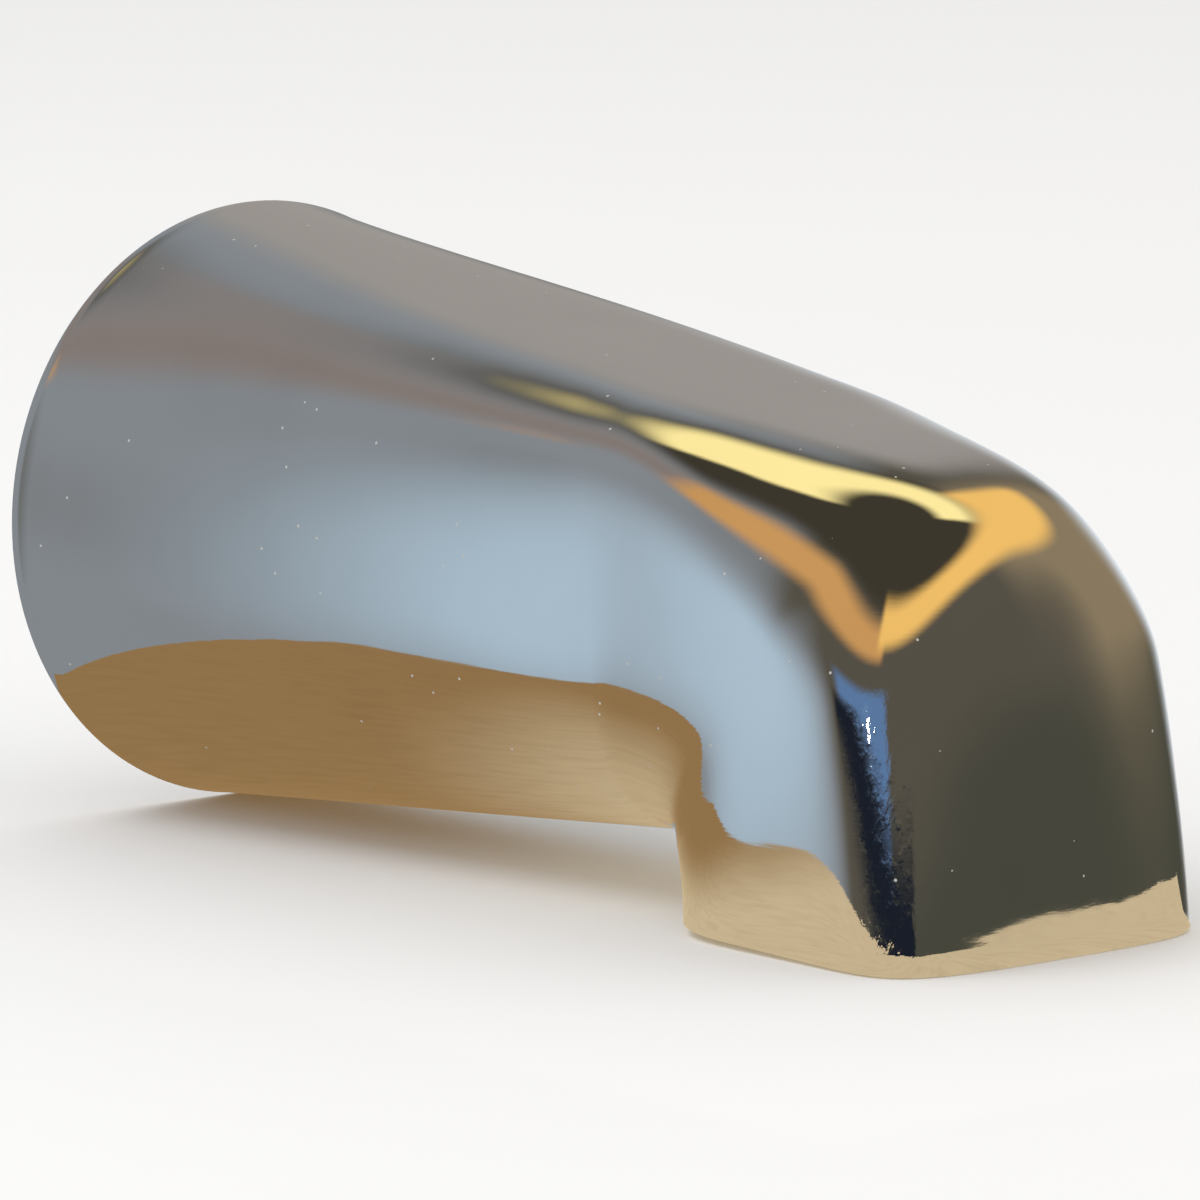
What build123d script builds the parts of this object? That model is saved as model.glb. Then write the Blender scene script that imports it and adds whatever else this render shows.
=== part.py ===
from build123d import *
from math import atan2, cos, hypot, pi, radians, sin, sqrt
import os

# Driving sizes in millimetres. The wall is the plane Y = 0, the spout points along -Y and Z is up.
RIM_RADIUS = 31.75
LENGTH = 127.8
NOSE_LENGTH = 47.8
TOP_AT_SHOULDER = 21.0
BELLY_AT_SHOULDER = -23.8
LIP_LEVEL = -29.2
FRONT_LEAN = 5.3
NECK_WIDTH = 38.9
NECK_BLEND = 0.5
OUTLET_WIDTH = 42.2
OUTLET_DEPTH = 38.0
WALL = 2.6
EDGE_ROUND = 0.5

# Form of the sections, at the rim, the shoulder, the nose, the front and the lip.
# Square: 2 is an ellipse and larger numbers have tighter corners. Crown: how far the outer face falls
# from its centre line to its edges. Widest: where the sides are widest, as a share of the height.
CREST_SQUARE = (2.0, 4.7, 8.6, 8.1, 7.6)
BELLY_SQUARE = (2.0, 2.5, 2.8, 3.2, 4.0)
CROWN = (0.0, 1.6, 11.8, 5.2, 2.0)
WIDEST = (0.5, 0.49, 0.54, 0.5, 0.45)
CROWN_POWER = 3
NOSE_CREASE = 6.8

# Turn of the section at the nose, the front and the lip, and how the sections are spread
NOSE_TURN = radians(41.0)
FRONT_TURN = radians(57.0)
LIP_TURN = pi / 2
BEND_RADIUS = 35.0
BODY_STEPS = 6
NOSE_STEPS = 12
SECTION_POINTS = 64
CORNER_CROWDING = 0.6

# Bulkhead, boss and bushing
BULKHEAD = 3.5
BULKHEAD_SETBACK = 1.0
BOSS_RADIUS = 16.0
BOSS_LENGTH = 14.0
BOSS_THREAD_RADIUS = 13.0
BUSHING_HEAD = 6.0
BUSHING_FLATS = 29.0
INLET_RADIUS = 9.3
INLET_CHAMFER = 1.2
OVERRUN = 2.0

# Places along the pipe line that follow from the sizes
SHOULDER = LENGTH - NOSE_LENGTH
BULKHEAD_FACE = SHOULDER - BULKHEAD_SETBACK
BOSS_FACE = BULKHEAD_FACE - BOSS_LENGTH
INLET_FACE = BOSS_FACE - BUSHING_HEAD
THREAD_DEPTH = BOSS_LENGTH + BULKHEAD


def along(values, run, turn):
    """A value that passes smoothly through those at the rim, shoulder, nose, front and lip."""
    turns = (0.0, NOSE_TURN, FRONT_TURN, LIP_TURN)
    places = [0.0] + [SHOULDER + BEND_RADIUS * mark for mark in turns]
    spans = [after - before for before, after in zip(places, places[1:])]
    slopes = [(after - before) / span for before, after, span in zip(values, values[1:], spans)]
    tangents = [0.0]
    for before, after in zip(slopes, slopes[1:]):
        tangents.append(2 * before * after / (before + after) if before * after > 0 else 0.0)
    tangents.append(0.0)
    place = SHOULDER * run + BEND_RADIUS * turn
    first = sum(place > mark for mark in places[1:-1])
    share = (place - places[first]) / spans[first]
    rest = 1 - share
    return (
        rest * rest * (1 + 2 * share) * values[first]
        + share * share * (1 + 2 * rest) * values[first + 1]
        + share * rest * spans[first] * (rest * tangents[first] - share * tangents[first + 1])
    )


def half_width(run, turn):
    """Half the width of a section, where the taper of the body blends into the sides of the nose."""
    taper = RIM_RADIUS + (NECK_WIDTH / 2 - RIM_RADIUS) * (run + BEND_RADIUS * turn / SHOULDER)
    lip_share = turn / LIP_TURN + (run - 1) * SHOULDER / (BEND_RADIUS * LIP_TURN)
    nose = NECK_WIDTH / 2 + (OUTLET_WIDTH - NECK_WIDTH) / 2 * lip_share
    return (taper + nose) / 2 + sqrt(((taper - nose) / 2) ** 2 + NECK_BLEND**2)


def crest_reach(turn):
    """Distance from the turning line to the crest, along a section turned by this angle."""
    drop = atan2(RIM_RADIUS - TOP_AT_SHOULDER, SHOULDER)
    lean = radians(FRONT_LEAN)
    top_share = cos(turn - drop) / ((TOP_AT_SHOULDER - LIP_LEVEL) * cos(drop))
    front_share = sin(turn + lean) / (NOSE_LENGTH * cos(lean))
    return (top_share**NOSE_CREASE + front_share**NOSE_CREASE) ** (-1 / NOSE_CREASE)


def throat_reach(turn):
    """Distance from the turning line to the throat, along the same section."""
    rear = NOSE_LENGTH - OUTLET_DEPTH
    rise = BELLY_AT_SHOULDER - LIP_LEVEL
    return 1 / hypot(sin(turn) / rear, cos(turn) / rise)


def section(run, turn, inset, shift):
    """One closed section: run goes from rim to shoulder, then turn goes from shoulder to lip."""
    if turn > 0:
        low = throat_reach(turn)
        high = crest_reach(turn)
    else:
        low = -RIM_RADIUS + (BELLY_AT_SHOULDER + RIM_RADIUS) * run - LIP_LEVEL
        high = RIM_RADIUS + (TOP_AT_SHOULDER - RIM_RADIUS) * run - LIP_LEVEL
    half = half_width(run, turn)
    crest_square = along(CREST_SQUARE, run, turn)
    belly_square = along(BELLY_SQUARE, run, turn)
    crown = along(CROWN, run, turn)
    middle = low + (high - low) * along(WIDEST, run, turn)
    points = []
    for index in range(SECTION_POINTS):
        step = 2 * pi * index / SECTION_POINTS - pi / 2
        angle = step + CORNER_CROWDING * sin(4 * step) / 4
        square = crest_square if sin(angle) > 0 else belly_square
        size = (abs(cos(angle)) ** square + abs(sin(angle)) ** square) ** (-1 / square)
        across = size * cos(angle)
        up = size * sin(angle)
        reach = high - middle if up > 0 else middle - low
        fall = crown * abs(across) ** CROWN_POWER * max(0.0, up)
        place = middle + (reach - inset) * up - fall
        forward = SHOULDER * run + place * sin(turn)
        height = LIP_LEVEL + place * cos(turn)
        if turn > 0:
            height -= shift
        else:
            forward -= shift
        points.append(((half - inset) * across, -forward, height))
    knots = [index / SECTION_POINTS for index in range(SECTION_POINTS + 1)]
    return Wire([Edge.make_spline(points, periodic=True, parameters=knots)])


def skin(inset, overrun):
    """The solid inside a skin set in from the outside, run past both ends."""
    sections = [section(0.0, 0.0, inset, overrun)] if overrun > 0 else []
    for index in range(BODY_STEPS):
        sections.append(section(index / BODY_STEPS, 0.0, inset, 0.0))
    for index in range(NOSE_STEPS + 1):
        sections.append(section(1.0, LIP_TURN * index / NOSE_STEPS, inset, 0.0))
    if overrun > 0:
        sections.append(section(1.0, LIP_TURN, inset, overrun))
    return Solid.make_loft(sections)


def rod(radius, start, length):
    """A round rod on the pipe line, from a distance off the wall towards the nose."""
    return Pos(0, -start, 0) * Rot(90, 0, 0) * extrude(Circle(radius), length)


# Body: an even wall round a core that leaves the bulkhead and the boss
block = 4 * RIM_RADIUS
bulkhead = Pos(0, -(BULKHEAD_FACE + BULKHEAD / 2), 0) * Box(block, BULKHEAD, block)
boss = rod(BOSS_RADIUS, BOSS_FACE, BOSS_LENGTH + BULKHEAD / 2)
core = skin(WALL, OVERRUN) - (bulkhead + boss)
outside = skin(0.0, 0.0)
outside = fillet(outside.edges().group_by(Axis.Z)[0], EDGE_ROUND)
spout_body = outside - core - rod(BOSS_THREAD_RADIUS, BOSS_FACE - OVERRUN, THREAD_DEPTH + 2 * OVERRUN)

# Bushing: a hexagon head on the mouth of the boss and a threaded stem as deep as the boss
stem = rod(BOSS_THREAD_RADIUS, BOSS_FACE, THREAD_DEPTH)
hexagon = RegularPolygon(BUSHING_FLATS / 2, 6, major_radius=False)
head = Pos(0, -INLET_FACE, 0) * Rot(90, 0, 0) * extrude(hexagon, BUSHING_HEAD)
blank = head + stem - rod(INLET_RADIUS, INLET_FACE - OVERRUN, block)
mouth_edge = blank.edges().filter_by(GeomType.CIRCLE).sort_by(Axis.Y)[-1]
inlet_bushing = chamfer(mouth_edge, INLET_CHAMFER)

os.makedirs("parts", exist_ok=True)
export_step(spout_body, "parts/spout_body.step")
export_step(inlet_bushing, "parts/inlet_bushing.step")
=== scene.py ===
from math import atan2, cos, hypot, pi, radians, sin, sqrt

import bpy
from mathutils import Matrix, Vector


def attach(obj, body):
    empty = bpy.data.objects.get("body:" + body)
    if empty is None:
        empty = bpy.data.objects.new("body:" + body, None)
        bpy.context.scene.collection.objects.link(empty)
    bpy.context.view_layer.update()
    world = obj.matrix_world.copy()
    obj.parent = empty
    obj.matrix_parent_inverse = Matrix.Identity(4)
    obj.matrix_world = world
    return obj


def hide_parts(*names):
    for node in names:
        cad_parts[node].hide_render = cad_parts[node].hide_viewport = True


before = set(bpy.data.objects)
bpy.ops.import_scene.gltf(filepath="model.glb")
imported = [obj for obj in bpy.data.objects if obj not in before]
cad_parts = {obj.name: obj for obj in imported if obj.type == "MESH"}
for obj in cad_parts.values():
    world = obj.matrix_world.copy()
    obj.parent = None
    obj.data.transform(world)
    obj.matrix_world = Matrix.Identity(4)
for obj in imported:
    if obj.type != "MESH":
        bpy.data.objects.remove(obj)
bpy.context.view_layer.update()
scene = bpy.context.scene
scene.view_settings.view_transform = "Standard"
MM = 0.001

# Sizes of the spout in millimetres, the same as in the part's source
RIM_RADIUS = 31.75
LENGTH = 127.8
NOSE_LENGTH = 47.8
TOP_AT_SHOULDER = 21.0
BELLY_AT_SHOULDER = -23.8
LIP_LEVEL = -29.2
FRONT_LEAN = 5.3
NECK_WIDTH = 38.9
NECK_BLEND = 0.5
OUTLET_WIDTH = 42.2
OUTLET_DEPTH = 38.0
WALL = 2.6
EDGE_ROUND = 0.5

# Form of the sections, at the rim, the shoulder, the nose, the front and the lip
CREST_SQUARE = (2.0, 4.7, 8.6, 8.1, 7.6)
BELLY_SQUARE = (2.0, 2.5, 2.8, 3.2, 4.0)
CROWN = (0.0, 1.6, 11.8, 5.2, 2.0)
WIDEST = (0.5, 0.49, 0.54, 0.5, 0.45)
CROWN_POWER = 3
NOSE_CREASE = 6.8
NOSE_TURN = radians(41.0)
FRONT_TURN = radians(57.0)
LIP_TURN = pi / 2
BEND_RADIUS = 35.0
CORNER_CROWDING = 0.6

# Bulkhead, boss and bushing, with the pipe thread in its bore
BULKHEAD = 3.5
BULKHEAD_SETBACK = 1.0
BOSS_RADIUS = 16.0
BOSS_LENGTH = 14.0
BOSS_FILLET = 2.0
BOSS_THREAD_RADIUS = 13.0
STEM_CLEARANCE = 0.05
BUSHING_HEAD = 6.0
BUSHING_FLATS = 29.0
HEAD_CHAMFER = 0.58
INLET_RADIUS = 9.3
INLET_CHAMFER = 1.2
PIPE_THREAD_PITCH = 1.814
PIPE_THREAD_DEPTH = 1.1
THREAD_SLOPE = 1.25

# How finely the pieces are drawn, and the angle from which their edges are sharp
RING_POINTS = 240
BODY_RINGS = 60
NOSE_RINGS = 100
LAST_NOSE_TURN = radians(87.0)
EDGE_RINGS = 5
RINGS_PER_THREAD = 10
BOSS_SHARP = radians(40.0)
BUSHING_SHARP = radians(25.0)

# Chrome: colours, waves or cells to the metre, ranges of noise and roughness, and heights in metres
CHROME_CLEAN = (0.83, 0.83, 0.825, 1.0)
CHROME_HAZY = (0.79, 0.79, 0.785, 1.0)
HAZE_WAVES = 45.0
HAZE_RANGE = (0.4, 0.8)
HAZE_ROUGHNESS = (0.35, 0.75, 0.02, 0.05)
WIPE_WAVES = (700.0, 90.0, 3000.0)
WIPE_ROUGHNESS = (0.5, 0.8, 0.0, 0.03)
WIPE_HEIGHT = 0.000003
POLISH_WAVES = 110.0
POLISH_HEIGHT = 0.00006
PIT_WAVES = (1400.0, 1400.0, 500.0)
PIT_RANGE = (0.4, 0.75)
PIT_HEIGHT = 0.000022
WORN_RANGE = (0.74, 0.83)
DUST_COLOUR = (0.5, 0.49, 0.46, 1.0)
DUST_ROUGHNESS = 0.7
DUST_CELLS = 330.0
DUST_SIZE = 0.06
DUST_SHARE = 0.7

# Zinc inside the casting: as for the chrome, and how far in from the ends the plating reaches
ZINC_PALE = (0.5, 0.51, 0.53, 1.0)
ZINC_DARK = (0.36, 0.37, 0.39, 1.0)
ZINC_METALLIC = 0.35
ZINC_ROUGHNESS = (0.0, 0.8, 0.55, 0.18)
STAIN_WAVES = 120.0
STAIN_RANGE = (0.35, 0.7)
GRAIN_WAVES = 1500.0
GRAIN_SHARE = 0.3
GRAIN_HEIGHT = 0.0002
PLATED_COLOUR = (0.74, 0.74, 0.74, 1.0)
PLATED_FROM_WALL = (-0.02, 0.0)
PLATED_FROM_LIP = (-0.02, -0.032)
PLATED_RAGGED = 0.008

# Brass: as for the chrome, and the tool marks' distance and height in metres
BRASS_BRIGHT = (0.8, 0.58, 0.26, 1.0)
BRASS_DULL = (0.68, 0.47, 0.2, 1.0)
BRASS_ROUGHNESS = (0.3, 0.75, 0.2, 0.42)
DULL_WAVES = 500.0
DULL_RANGE = (0.4, 0.75)
MARK_PITCH = 0.0003
MARK_HEIGHT = 0.00001

# Camera: angles in degrees, distances in millimetres, and the far end of its view in metres
CAMERA_AZIMUTH = -39.7
CAMERA_ELEVATION = 9.17
CAMERA_ROLL = 0.43
CAMERA_DISTANCE = 804.3
CAMERA_LENS = 240.0
CAMERA_SENSOR = 36.0
CAMERA_TARGET = (0.0, -64.0, -3.0)
CAMERA_SLIDE = (-3.87, 0.13)
CAMERA_FAR_END = 100.0

# Floor, world and lamp, in metres and watts
FLOOR_REACH = 6.0
FLOOR_DARK = (0.94, 0.94, 0.94, 1.0)
FLOOR_PALE = (0.95, 0.95, 0.95, 1.0)
FLOOR_ROUGHNESS = 0.85
FLOOR_WAVES = 9.0
WHITE = (1.0, 1.0, 1.0, 1.0)
WORLD_STRENGTH = 0.9
LAMP_PLACE = Vector((-0.7, 0.3, 1.2))
LAMP_AIM = Vector((0.0, -0.06, 0.0))
LAMP_SIZE = 0.8
LAMP_POWER = 4.0

# Share of the light that the metal gives back, which what it mirrors makes up for
METAL_SHARE = 0.83

# Painted reflections: a glowing room seen only in the metal, whose patches paint the chrome's reflections,
# in degrees: name, azimuth, half spread, elevation, half spread, softness, colour
ROOM_RADIUS = 3.0
ROOM_SEGMENTS = 64
ROOM_RINGS = 32
PAINTED_REFLECTION_COLOUR = (85, 80, 70)
PAINTED_REFLECTION_PATCHES = (
    ("ceiling", 0, 190, 90, 40, 4, (60, 55, 45)),
    ("pale_floor", -55, 115, -52, 42, 4, (215, 215, 210)),
    ("horizon", -80, 100, -4, 7, 5, (70, 70, 60)),
    ("brown_wall", -8, 34, 26, 24, 8, (135, 120, 95)),
    ("grey_wall", 98, 50, -12, 60, 8, (130, 135, 140)),
    ("right_wall", 48, 14, 20, 18, 8, (150, 145, 140)),
    ("picture_rail", 112, 30, 40, 6, 6, (130, 120, 115)),
    ("left_lamp", 176, 38, 40, 7, 4, (200, 150, 90)),
    ("lamp_arc", -66, 88, 46, 7, 4, (240, 190, 105)),
    ("lamp", 50, 62, 61, 7, 4, (255, 235, 160)),
    ("blue_window", -168, 32, 9, 6, 4, (90, 120, 160)),
    ("night_window", -155, 50, 0, 4, 3, (25, 30, 40)),
)

# Soft cards seen only in the metal, whose glow paints soft reflections on the spout's sides, in
# millimetres: name, place across, colour, and the fades at the front, back, bottom and top
PAINTED_REFLECTION_CARDS = (
    ("left_card", -75.0, (170, 190, 205), (-80.0, -40.0), (28.0, -40.0), (-70.0, -14.0), (42.0, -12.0)),
    ("right_card", 75.0, (210, 215, 220), (-122.0, -80.0), (40.0, -20.0), (-50.0, -10.0), (46.0, 4.0)),
)

# Small white glow seen only in the metal, which paints a glint on the front edge: degrees round and up,
# metres away and across
FLASH_AZIMUTH = -164.0
FLASH_ELEVATION = 6.5
FLASH_DISTANCE = 0.8
FLASH_WIDTH = 0.05
FLASH_HEIGHT = 0.016
FLASH_STRENGTH = 25.0

# Board under the spout, seen only in the metal as a painted reflection, in metres: its corners, and where
# its painted light starts and ends along it, with painted shade under the spout
BOARD_CORNERS = (
    (-0.072, -0.176), (0.085, -0.168), (0.085, -0.135),
    (0.008, -0.12), (0.008, 0.038), (-0.072, -0.01),
)
PAINTED_SHADE_EDGE = -0.03
PAINTED_LIGHT_EDGE = -0.085
BOARD_SHADE = (145, 115, 75)
BOARD_LIGHT = (200, 180, 145)
BOARD_GRAIN = (110, 85, 50)
BOARD_WAVES = (900.0, 120.0, 1.0)
BOARD_GRAIN_RANGE = (0.35, 0.8, 0.0, 0.18)

# Places and slopes that follow from the sizes, and the corners of a square
SHOULDER = LENGTH - NOSE_LENGTH
BULKHEAD_FACE = SHOULDER - BULKHEAD_SETBACK
BULKHEAD_BACK = BULKHEAD_FACE + BULKHEAD
BOSS_FACE = BULKHEAD_FACE - BOSS_LENGTH
INLET_FACE = BOSS_FACE - BUSHING_HEAD
FLOOR_SLOPE = (LIP_LEVEL + RIM_RADIUS) / -LENGTH
CORNER_SIGNS = ((-1, -1), (1, -1), (1, 1), (-1, 1))


def along(values, run, turn):
    """A value that passes smoothly through those at the rim, shoulder, nose, front and lip."""
    turns = (0.0, NOSE_TURN, FRONT_TURN, LIP_TURN)
    places = [0.0] + [SHOULDER + BEND_RADIUS * mark for mark in turns]
    spans = [after - before for before, after in zip(places, places[1:])]
    slopes = [(after - before) / span for before, after, span in zip(values, values[1:], spans)]
    tangents = [0.0]
    for before, after in zip(slopes, slopes[1:]):
        tangents.append(2 * before * after / (before + after) if before * after > 0 else 0.0)
    tangents.append(0.0)
    place = SHOULDER * run + BEND_RADIUS * turn
    first = sum(place > mark for mark in places[1:-1])
    share = (place - places[first]) / spans[first]
    rest = 1 - share
    return (
        rest * rest * (1 + 2 * share) * values[first]
        + share * share * (1 + 2 * rest) * values[first + 1]
        + share * rest * spans[first] * (rest * tangents[first] - share * tangents[first + 1])
    )


def half_width(run, turn):
    """Half the width of a section, where the taper of the body blends into the sides of the nose."""
    taper = RIM_RADIUS + (NECK_WIDTH / 2 - RIM_RADIUS) * (run + BEND_RADIUS * turn / SHOULDER)
    lip_share = turn / LIP_TURN + (run - 1) * SHOULDER / (BEND_RADIUS * LIP_TURN)
    nose = NECK_WIDTH / 2 + (OUTLET_WIDTH - NECK_WIDTH) / 2 * lip_share
    return (taper + nose) / 2 + sqrt(((taper - nose) / 2) ** 2 + NECK_BLEND**2)


def crest_reach(turn):
    """Distance from the turning line to the crest, along a section turned by this angle."""
    drop = atan2(RIM_RADIUS - TOP_AT_SHOULDER, SHOULDER)
    lean = radians(FRONT_LEAN)
    top_share = cos(turn - drop) / ((TOP_AT_SHOULDER - LIP_LEVEL) * cos(drop))
    front_share = sin(turn + lean) / (NOSE_LENGTH * cos(lean))
    return (top_share**NOSE_CREASE + front_share**NOSE_CREASE) ** (-1 / NOSE_CREASE)


def throat_reach(turn):
    """Distance from the turning line to the throat, along the same section."""
    rear = NOSE_LENGTH - OUTLET_DEPTH
    rise = BELLY_AT_SHOULDER - LIP_LEVEL
    return 1 / hypot(sin(turn) / rear, cos(turn) / rise)


def outline(run, turn):
    """The form of a section, as shares of its half width and of its height either way."""
    crest_square = along(CREST_SQUARE, run, turn)
    belly_square = along(BELLY_SQUARE, run, turn)
    points = []
    for index in range(RING_POINTS):
        step = 2 * pi * index / RING_POINTS - pi / 2
        angle = step + CORNER_CROWDING * sin(4 * step) / 4
        square = crest_square if sin(angle) > 0 else belly_square
        size = (abs(cos(angle)) ** square + abs(sin(angle)) ** square) ** (-1 / square)
        points.append((size * cos(angle), size * sin(angle)))
    return points


def section(run, turn, inset, lift=0.0):
    """One ring of the skin: run goes from rim to shoulder, then turn goes from shoulder to lip."""
    if turn > 0:
        low = throat_reach(turn)
        high = crest_reach(turn)
    else:
        low = -RIM_RADIUS + (BELLY_AT_SHOULDER + RIM_RADIUS) * run - LIP_LEVEL
        high = RIM_RADIUS + (TOP_AT_SHOULDER - RIM_RADIUS) * run - LIP_LEVEL
    half = half_width(run, turn)
    crown = along(CROWN, run, turn)
    middle = low + (high - low) * along(WIDEST, run, turn)
    points = []
    for across, up in outline(run, turn):
        reach = high - middle if up > 0 else middle - low
        fall = crown * abs(across) ** CROWN_POWER * max(0.0, up)
        place = middle + (reach - inset) * up - fall
        forward = SHOULDER * run + place * sin(turn)
        height = LIP_LEVEL + place * cos(turn)
        if turn > 0:
            height += lift
        else:
            forward += lift
        points.append(((half - inset) * across, -forward, height))
    return points


def wear(run, turn):
    """How near each point of a ring is to one of the crisp front edges, which are touched most."""
    front = min(1.0, max(0.0, (turn - NOSE_TURN) / (FRONT_TURN - NOSE_TURN)))
    return [front * abs(across) * max(0.0, up) for across, up in outline(run, turn)]


def end_edge(run, turn, inset, inwards):
    """The rings that round one edge of an end, from its skin to its flat."""
    rings = []
    for index in range(EDGE_RINGS + 1):
        angle = pi / 2 * index / EDGE_RINGS
        set_in = inset + inwards * EDGE_ROUND * (1 - cos(angle))
        rings.append(section(run, turn, set_in, EDGE_ROUND * (1 - sin(angle))))
    return rings


def ring(radius, distance):
    """A ring round the pipe line, where radius and distance from the wall may go by the angle."""
    points = []
    for index in range(RING_POINTS):
        angle = 2 * pi * index / RING_POINTS - pi / 2
        out = radius(angle) if callable(radius) else radius
        away = distance(angle) if callable(distance) else distance
        points.append((out * cos(angle), -away, out * sin(angle)))
    return points


def hexagon(angle):
    """Distance from the pipe line to the flats of the bushing's head."""
    return BUSHING_FLATS / 2 / cos(angle % (pi / 3) - pi / 6)


def head_edge(angle):
    """Distance from the wall at which the flats begin, where a cone takes off the head's corners."""
    return INLET_FACE + HEAD_CHAMFER * (hexagon(angle) - BUSHING_FLATS / 2 + EDGE_ROUND)


def thread_ring(distance):
    """One ring of the pipe thread: a groove that winds outwards from the bore."""

    def groove(angle):
        """Distance from the pipe line to the thread."""
        phase = (distance / PIPE_THREAD_PITCH + angle / (2 * pi)) % 1
        wave = THREAD_SLOPE * (abs(2 * phase - 1) - 0.5) + 0.5
        return INLET_RADIUS + PIPE_THREAD_DEPTH * min(1.0, max(0.0, wave))

    return ring(groove, distance)


def loop_mesh(name, rings, second=range(0)):
    """A closed mesh through rings in order and back to the first. Strips in second take material 1."""
    points = [[value * MM for value in point] for one in rings for point in one]
    faces = []
    slots = []
    for row in range(len(rings)):
        here = row * RING_POINTS
        there = (row + 1) % len(rings) * RING_POINTS
        for column in range(RING_POINTS):
            after = (column + 1) % RING_POINTS
            faces.append((here + column, here + after, there + after, there + column))
            slots.append(int(row in second))
    mesh = bpy.data.meshes.new(name)
    mesh.from_pydata(points, [], faces)
    mesh.polygons.foreach_set("material_index", slots)
    mesh.shade_smooth()
    piece = bpy.data.objects.new(name, mesh)
    scene.collection.objects.link(piece)
    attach(piece, "root")
    return piece


def linear(colour):
    """A screen colour from 0 to 255 as linear light, by the usual screen curve."""
    values = []
    for channel in colour:
        share = channel / 255
        values.append(share / 12.92 if share <= 0.04045 else ((share + 0.055) / 1.055) ** 2.4)
    return (*values, 1.0)


class Nodes:
    """Short calls for building a node material."""

    def __init__(self, name):
        self.material = bpy.data.materials.new(name)
        self.material.use_nodes = True
        self.tree = self.material.node_tree
        self.shader = self.tree.nodes["Principled BSDF"]
        self.surface = self.tree.nodes["Material Output"].inputs["Surface"]

    def put(self, socket, value):
        """Links a socket to another one, or sets its value."""
        if isinstance(value, bpy.types.NodeSocket):
            self.tree.links.new(value, socket)
        else:
            socket.default_value = value

    def add(self, kind, inputs, **settings):
        """A node with its settings and inputs."""
        node = self.tree.nodes.new(kind)
        for key, value in settings.items():
            setattr(node, key, value)
        for key, value in inputs.items():
            self.put(node.inputs[key], value)
        return node

    def math(self, operation, first, second=0.0):
        """One sum of two values."""
        return self.add("ShaderNodeMath", {0: first, 1: second}, operation=operation).outputs["Value"]

    def place(self):
        """The place on the object, in metres."""
        return self.add("ShaderNodeTexCoord", {}).outputs["Object"]

    def split(self, vector):
        """The three parts of a vector."""
        return self.add("ShaderNodeSeparateXYZ", {"Vector": vector}).outputs

    def stretch(self, vector, scale):
        """A vector with each part scaled."""
        return self.add("ShaderNodeMapping", {"Vector": vector, "Scale": scale}).outputs["Vector"]

    def noise(self, vector, scale=1.0, detail=2.0):
        """Noise from 0 to 1 with so many waves to the metre."""
        inputs = {"Vector": vector, "Scale": scale, "Detail": detail}
        return self.add("ShaderNodeTexNoise", inputs).outputs["Fac"]

    def fade(self, value, start, end, low=0.0, high=1.0):
        """A smooth step of a value from start to end."""
        inputs = {"Value": value, "From Min": start, "From Max": end, "To Min": low, "To Max": high}
        return self.add("ShaderNodeMapRange", inputs, interpolation_type="SMOOTHSTEP").outputs["Result"]

    def blend(self, share, first, second):
        """A mix of two colours."""
        inputs = {"Factor": share, 6: first, 7: second}
        return self.add("ShaderNodeMix", inputs, data_type="RGBA").outputs[2]

    def bump(self, height, distance, strength, **under):
        """A bumped normal, over another one where it is given as Normal."""
        inputs = {"Height": height, "Distance": distance, "Strength": strength, **under}
        return self.add("ShaderNodeBump", inputs).outputs["Normal"]

    def finish(self, **sockets):
        """Fills the shader's sockets, named with underscores for spaces."""
        for key, value in sockets.items():
            self.put(self.shader.inputs[key.replace("_", " ")], value)
        return self.material

    def glow(self, colour, strength):
        """Makes the material a glow and gives back its shader."""
        self.tree.nodes.remove(self.shader)
        shader = self.add("ShaderNodeEmission", {"Color": colour, "Strength": strength}).outputs["Emission"]
        self.put(self.surface, shader)
        return shader


def dust(nodes, place):
    """Sparse round specks, one in a share of the cells."""
    cells = nodes.add("ShaderNodeTexVoronoi", {"Vector": place, "Scale": DUST_CELLS, "Randomness": 1.0})
    spot = nodes.fade(cells.outputs["Distance"], DUST_SIZE, DUST_SIZE / 2)
    chosen = nodes.math("GREATER_THAN", nodes.split(cells.outputs["Color"])["X"], 1 - DUST_SHARE)
    return nodes.math("MULTIPLY", spot, chosen)


def chrome_material():
    """Bright plating with faint waves, fine wipe marks, haze, a little dust and pits on worn edges."""
    nodes = Nodes("chrome_plating")
    place = nodes.place()
    haze = nodes.noise(place, HAZE_WAVES, detail=4.0)
    wipes = nodes.noise(nodes.stretch(place, WIPE_WAVES), detail=3.0)
    polish = nodes.noise(place, POLISH_WAVES, detail=1.0)
    pits = nodes.fade(nodes.noise(nodes.stretch(place, PIT_WAVES), detail=3.0), *PIT_RANGE)
    edge_wear = nodes.add("ShaderNodeAttribute", {}, attribute_name="wear").outputs["Fac"]
    worn = nodes.math("MULTIPLY", pits, nodes.fade(edge_wear, *WORN_RANGE))
    specks = dust(nodes, place)
    hazy = nodes.fade(haze, *HAZE_ROUGHNESS)
    wiped = nodes.fade(wipes, *WIPE_ROUGHNESS)
    dusty = nodes.math("MULTIPLY", specks, DUST_ROUGHNESS)
    colour = nodes.blend(nodes.fade(haze, *HAZE_RANGE), CHROME_CLEAN, CHROME_HAZY)
    wavy = nodes.bump(polish, POLISH_HEIGHT, strength=0.5)
    pitted = nodes.bump(worn, PIT_HEIGHT, strength=0.5, Normal=wavy)
    return nodes.finish(
        Base_Color=nodes.blend(specks, colour, DUST_COLOUR),
        Metallic=nodes.math("SUBTRACT", 1.0, specks),
        Roughness=nodes.math("MAXIMUM", nodes.math("ADD", hazy, wiped), dusty),
        Normal=nodes.bump(wipes, WIPE_HEIGHT, strength=0.4, Normal=pitted),
    )


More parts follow.
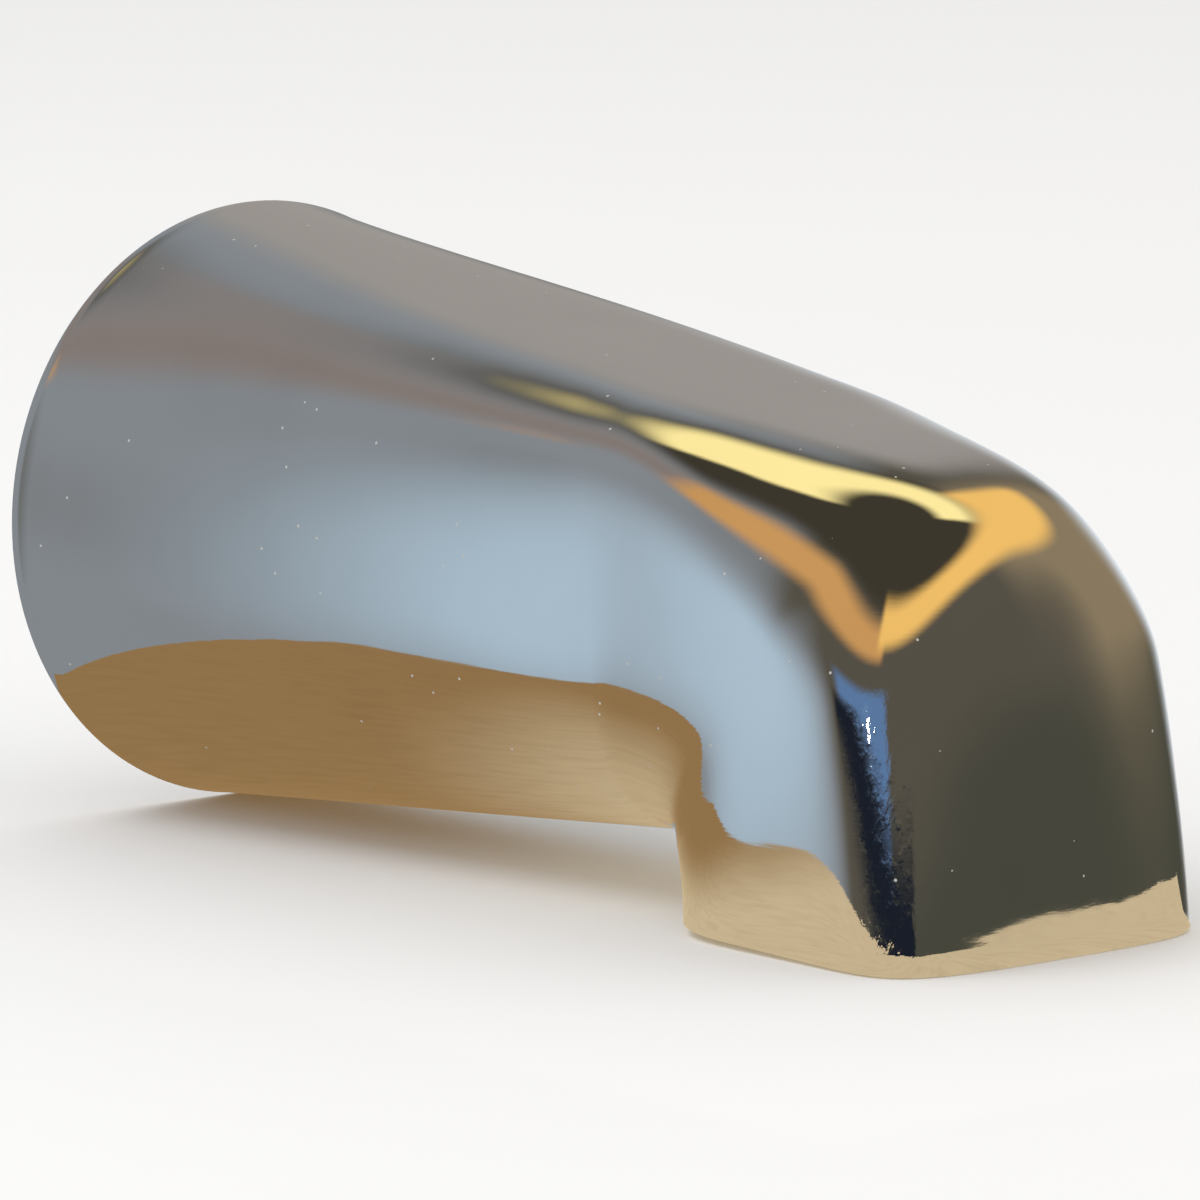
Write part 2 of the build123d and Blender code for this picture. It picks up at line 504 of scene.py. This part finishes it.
def zinc_material():
    """The inside of the casting: bare grainy zinc, and plating that only reaches in from the ends."""
    nodes = Nodes("cast_zinc")
    place = nodes.place()
    axes = nodes.split(place)
    grain = nodes.noise(place, GRAIN_WAVES, detail=3.0)
    stains = nodes.noise(place, STAIN_WAVES, detail=4.0)
    ragged = nodes.math("MULTIPLY", stains, PLATED_RAGGED)
    from_wall = nodes.fade(nodes.math("ADD", axes["Y"], ragged), *PLATED_FROM_WALL)
    from_lip = nodes.fade(nodes.math("SUBTRACT", axes["Z"], ragged), *PLATED_FROM_LIP)
    plated = nodes.math("MAXIMUM", from_wall, from_lip)
    bare = nodes.blend(nodes.fade(stains, *STAIN_RANGE), ZINC_PALE, ZINC_DARK)
    smooth = nodes.math("SUBTRACT", plated, nodes.math("MULTIPLY", grain, GRAIN_SHARE))
    return nodes.finish(
        Base_Color=nodes.blend(plated, bare, PLATED_COLOUR),
        Metallic=nodes.fade(plated, 0.0, 1.0, ZINC_METALLIC, 1.0),
        Roughness=nodes.fade(smooth, *ZINC_ROUGHNESS),
        Normal=nodes.bump(grain, GRAIN_HEIGHT, strength=0.35),
    )


def brass_material():
    """Turned brass with fine tool marks round the pipe line and some dulled patches."""
    nodes = Nodes("machined_brass")
    place = nodes.place()
    flat = nodes.stretch(place, (1.0, 0.0, 1.0))
    out = nodes.add("ShaderNodeVectorMath", {0: flat}, operation="LENGTH").outputs["Value"]
    marks = nodes.math("SINE", nodes.math("MULTIPLY", out, 2 * pi / MARK_PITCH))
    dull = nodes.noise(place, DULL_WAVES, detail=5.0)
    return nodes.finish(
        Base_Color=nodes.blend(nodes.fade(dull, *DULL_RANGE), BRASS_BRIGHT, BRASS_DULL),
        Metallic=1.0,
        Roughness=nodes.fade(dull, *BRASS_ROUGHNESS),
        Normal=nodes.bump(marks, MARK_HEIGHT, strength=0.4),
    )


def floor_material():
    """Pale matt paint with the faintest mottling."""
    nodes = Nodes("floor_paint")
    mottle = nodes.noise(nodes.place(), FLOOR_WAVES, detail=3.0)
    colour = nodes.blend(mottle, FLOOR_DARK, FLOOR_PALE)
    return nodes.finish(Base_Color=colour, Roughness=FLOOR_ROUGHNESS)


def painted_reflection_room_material():
    """A glow seen only in the metal, whose colour goes by direction from its middle and paints the chrome's
    reflections.
    """
    nodes = Nodes("painted_reflection_room")
    way = nodes.add("ShaderNodeVectorMath", {0: nodes.place()}, operation="NORMALIZE").outputs["Vector"]
    height = nodes.math("ARCSINE", nodes.split(way)["Z"])

    def inside(angle, half, soft):
        """One inside the half spread and nothing outside, with a soft edge."""
        return nodes.fade(nodes.math("ABSOLUTE", angle), radians(half + soft), radians(half - soft))

    colour = linear(PAINTED_REFLECTION_COLOUR)
    for name, bearing, spread, tilt, tilt_spread, soft, shade in PAINTED_REFLECTION_PATCHES:
        turn = {"Vector": way, "Angle": -radians(bearing)}
        turned = nodes.add("ShaderNodeVectorRotate", turn, rotation_type="Z_AXIS", label=name)
        parts = nodes.split(turned.outputs["Vector"])
        aside = nodes.math("ARCTAN2", parts["Y"], parts["X"])
        above = nodes.math("SUBTRACT", height, radians(tilt))
        share = nodes.math("MULTIPLY", inside(aside, spread, soft), inside(above, tilt_spread, soft))
        colour = nodes.blend(share, colour, linear(shade))
    nodes.glow(colour, 1 / METAL_SHARE)
    return nodes.material


def painted_reflection_board_material():
    """A glow that paints the reflection of warm wood, with painted shade under the spout towards the wall,
    painted light towards the front, and a fine grain along it.
    """
    nodes = Nodes("painted_reflection_board")
    place = nodes.place()
    # Painted shade under the spout, giving way to painted light towards the front
    painted_light_share = nodes.fade(nodes.split(place)["Y"], PAINTED_SHADE_EDGE, PAINTED_LIGHT_EDGE)
    lit = nodes.blend(painted_light_share, linear(BOARD_SHADE), linear(BOARD_LIGHT))
    grain = nodes.noise(nodes.stretch(place, BOARD_WAVES), detail=4.0)
    colour = nodes.blend(nodes.fade(grain, *BOARD_GRAIN_RANGE), lit, linear(BOARD_GRAIN))
    nodes.glow(colour, 1 / METAL_SHARE)
    return nodes.material


def painted_reflection_card_material(name, colour, front, back, bottom, top):
    """A glow that paints a soft reflection and fades out towards the edges of its card."""
    nodes = Nodes(name)
    axes = nodes.split(nodes.place())
    share = 1.0
    for axis, (start, full) in (("Y", front), ("Y", back), ("Z", bottom), ("Z", top)):
        share = nodes.math("MULTIPLY", nodes.fade(axes[axis], start * MM, full * MM), share)
    glow = nodes.glow(linear(colour), 1 / METAL_SHARE)
    clear = nodes.add("ShaderNodeBsdfTransparent", {}).outputs["BSDF"]
    mixed = nodes.add("ShaderNodeMixShader", {0: share, 1: clear, 2: glow})
    nodes.put(nodes.surface, mixed.outputs["Shader"])
    return nodes.material


def painted_glint_material():
    """A plain white glow that paints a glint."""
    nodes = Nodes("painted_glint")
    nodes.glow(WHITE, FLASH_STRENGTH)
    return nodes.material


def show_in_mirror_only(thing):
    """Lets a stage piece show in the metal and nowhere else."""
    thing.visible_camera = False
    thing.visible_diffuse = False
    thing.visible_shadow = False
    thing.visible_transmission = False


def floor_height(y):
    """The rim and the lip both stand on the floor, which tips a little for that."""
    return -RIM_RADIUS * MM + FLOOR_SLOPE * y


def stage_sheet(name, corners, material):
    """A flat stage piece."""
    mesh = bpy.data.meshes.new(name)
    mesh.from_pydata(corners, [], [tuple(range(len(corners)))])
    mesh.materials.append(material)
    sheet = bpy.data.objects.new(name, mesh)
    scene.collection.objects.link(sheet)
    return sheet


def painted_reflection_card(name, across, colour, front, back, bottom, top):
    """A glowing card beside the spout, which paints a soft reflection on it; its edges are where its glow
    starts.
    """
    sides = ((front, bottom), (back, bottom), (back, top), (front, top))
    corners = [(across * MM, y[0] * MM, z[0] * MM) for y, z in sides]
    return stage_sheet(name, corners, painted_reflection_card_material(name, colour, front, back, bottom, top))


def painted_glint_card():
    """A small glowing card that faces the nose and paints a glint on its front edge."""
    corners = [(x * FLASH_WIDTH / 2, y * FLASH_HEIGHT / 2, 0.0) for x, y in CORNER_SIGNS]
    sheet = stage_sheet("painted_glint", corners, painted_glint_material())
    bearing = radians(FLASH_AZIMUTH)
    tilt = radians(FLASH_ELEVATION)
    way = Vector((cos(bearing) * cos(tilt), sin(bearing) * cos(tilt), sin(tilt)))
    sheet.location = Vector((0.0, -LENGTH * MM, 0.0)) + way * FLASH_DISTANCE
    sheet.rotation_euler = way.to_track_quat("Z", "Y").to_euler()
    return sheet


# Shell: the outer skin from rim to lip, the lip, the inner skin back to the rim, and the rim
body_runs = [index / BODY_RINGS for index in range(1, BODY_RINGS)]
nose_turns = [LAST_NOSE_TURN * index / NOSE_RINGS for index in range(NOSE_RINGS + 1)]
outer = end_edge(0.0, 0.0, 0.0, 1)[::-1]
outer += [section(run, 0.0, 0.0) for run in body_runs]
outer += [section(1.0, turn, 0.0) for turn in nose_turns]
outer += end_edge(1.0, LIP_TURN, 0.0, 1)
inner = end_edge(1.0, LIP_TURN, WALL, -1)[::-1]
inner += [section(1.0, turn, WALL) for turn in reversed(nose_turns)]
inner += [section(run, 0.0, WALL) for run in reversed(body_runs)]
inner += end_edge(0.0, 0.0, WALL, -1)
inside_strips = range(len(outer) + EDGE_RINGS, len(outer) + len(inner) - EDGE_RINGS)
shell = loop_mesh("spout_shell", outer + inner, inside_strips)
shell_wear = [wear(0.0, 0.0)] * (EDGE_RINGS + 1)
shell_wear += [wear(run, 0.0) for run in body_runs]
shell_wear += [wear(1.0, turn) for turn in nose_turns]
shell_wear += [wear(1.0, LIP_TURN)] * (EDGE_RINGS + 1)
shell_wear += [[0.0] * RING_POINTS] * len(inner)
attribute = shell.data.attributes.new("wear", "FLOAT", "POINT")
attribute.data.foreach_set("value", [value for one in shell_wear for value in one])
zinc = zinc_material()
shell.data.materials.append(chrome_material())
shell.data.materials.append(zinc)
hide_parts("spout_body")

# Bulkhead and boss, let into the wall of the shell
let_in = section(BULKHEAD_FACE / SHOULDER, 0.0, WALL / 2)
boss_rings = [ring(BOSS_THREAD_RADIUS, BOSS_FACE), ring(BOSS_RADIUS, BOSS_FACE)]
for index in range(EDGE_RINGS + 1):
    angle = pi / 2 * index / EDGE_RINGS
    out = BOSS_RADIUS + BOSS_FILLET * (1 - cos(angle))
    boss_rings.append(ring(out, BULKHEAD_FACE - BOSS_FILLET * (1 - sin(angle))))
boss_rings.append(let_in)
boss_rings.append([(x, -BULKHEAD_BACK, z) for x, y, z in let_in])
boss_rings.append(ring(BOSS_THREAD_RADIUS, BULKHEAD_BACK))
bulkhead = loop_mesh("bulkhead", boss_rings)
bulkhead.data.set_sharp_from_angle(angle=BOSS_SHARP)
bulkhead.data.materials.append(zinc)

# Bushing: its head, the stem in the boss and the threaded bore back to the mouth
stem_radius = BOSS_THREAD_RADIUS - STEM_CLEARANCE
thread_length = BULKHEAD_BACK - INLET_FACE - INLET_CHAMFER
thread_rings = int(thread_length / PIPE_THREAD_PITCH * RINGS_PER_THREAD)
thread_step = thread_length / thread_rings
bushing_rings = [ring(INLET_RADIUS + INLET_CHAMFER, INLET_FACE)]
bushing_rings += [ring(BUSHING_FLATS / 2 - EDGE_ROUND, INLET_FACE)]
bushing_rings += [ring(hexagon, head_edge), ring(hexagon, BOSS_FACE)]
bushing_rings += [ring(stem_radius, BOSS_FACE), ring(stem_radius, BULKHEAD_BACK)]
bushing_rings += [thread_ring(BULKHEAD_BACK - thread_step * index) for index in range(thread_rings + 1)]
bushing = loop_mesh("threaded_bushing", bushing_rings)
bushing.data.set_sharp_from_angle(angle=BUSHING_SHARP)
bushing.data.materials.append(brass_material())
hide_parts("inlet_bushing")

# Painted reflections: room, cards, glint card and board, all glows seen in the metal only
bpy.ops.mesh.primitive_uv_sphere_add(segments=ROOM_SEGMENTS, ring_count=ROOM_RINGS, radius=ROOM_RADIUS)
painted_reflection_room = bpy.context.object
painted_reflection_room.name = "painted_reflection_room"
painted_reflection_room.data.materials.append(painted_reflection_room_material())
cards = [painted_reflection_card(*row) for row in PAINTED_REFLECTION_CARDS]
painted_glint = painted_glint_card()
painted_reflection_board = stage_sheet("painted_reflection_board", [(x, y, floor_height(y)) for x, y in BOARD_CORNERS], painted_reflection_board_material())
for thing in (painted_reflection_room, painted_glint, painted_reflection_board, *cards):
    show_in_mirror_only(thing)

# Floor
floor_corners = [(x * FLOOR_REACH, y * FLOOR_REACH) for x, y in CORNER_SIGNS]
floor = stage_sheet("floor", [(x, y, floor_height(y)) for x, y in floor_corners], floor_material())
floor.visible_glossy = False

# Soft light all round and one large lamp
world = bpy.data.worlds.new("studio")
scene.world = world
world.use_nodes = True
world.node_tree.nodes["Background"].inputs["Color"].default_value = WHITE
world.node_tree.nodes["Background"].inputs["Strength"].default_value = WORLD_STRENGTH
lamp_data = bpy.data.lights.new("key", "AREA")
lamp_data.shape = "DISK"
lamp_data.size = LAMP_SIZE
lamp_data.energy = LAMP_POWER
lamp = bpy.data.objects.new("key", lamp_data)
scene.collection.objects.link(lamp)
lamp.location = LAMP_PLACE
lamp.rotation_euler = (LAMP_AIM - LAMP_PLACE).to_track_quat("-Z", "Y").to_euler()
lamp.visible_glossy = False

# Camera
azimuth = radians(CAMERA_AZIMUTH)
elevation = radians(CAMERA_ELEVATION)
roll = radians(CAMERA_ROLL)
back = Vector((sin(azimuth) * cos(elevation), -cos(azimuth) * cos(elevation), sin(elevation)))
level = Vector((cos(azimuth), sin(azimuth), 0.0))
rise = back.cross(level)
right = level * cos(roll) + rise * sin(roll)
up = rise * cos(roll) - level * sin(roll)
eye = (Vector(CAMERA_TARGET) + back * CAMERA_DISTANCE + right * CAMERA_SLIDE[0] + up * CAMERA_SLIDE[1]) * MM
camera_data = bpy.data.cameras.new("camera")
camera_data.lens = CAMERA_LENS
camera_data.sensor_width = CAMERA_SENSOR
camera_data.clip_end = CAMERA_FAR_END
camera = bpy.data.objects.new("camera", camera_data)
scene.collection.objects.link(camera)
camera.matrix_world = Matrix.Translation(eye) @ Matrix((right, up, back)).transposed().to_4x4()
scene.camera = camera
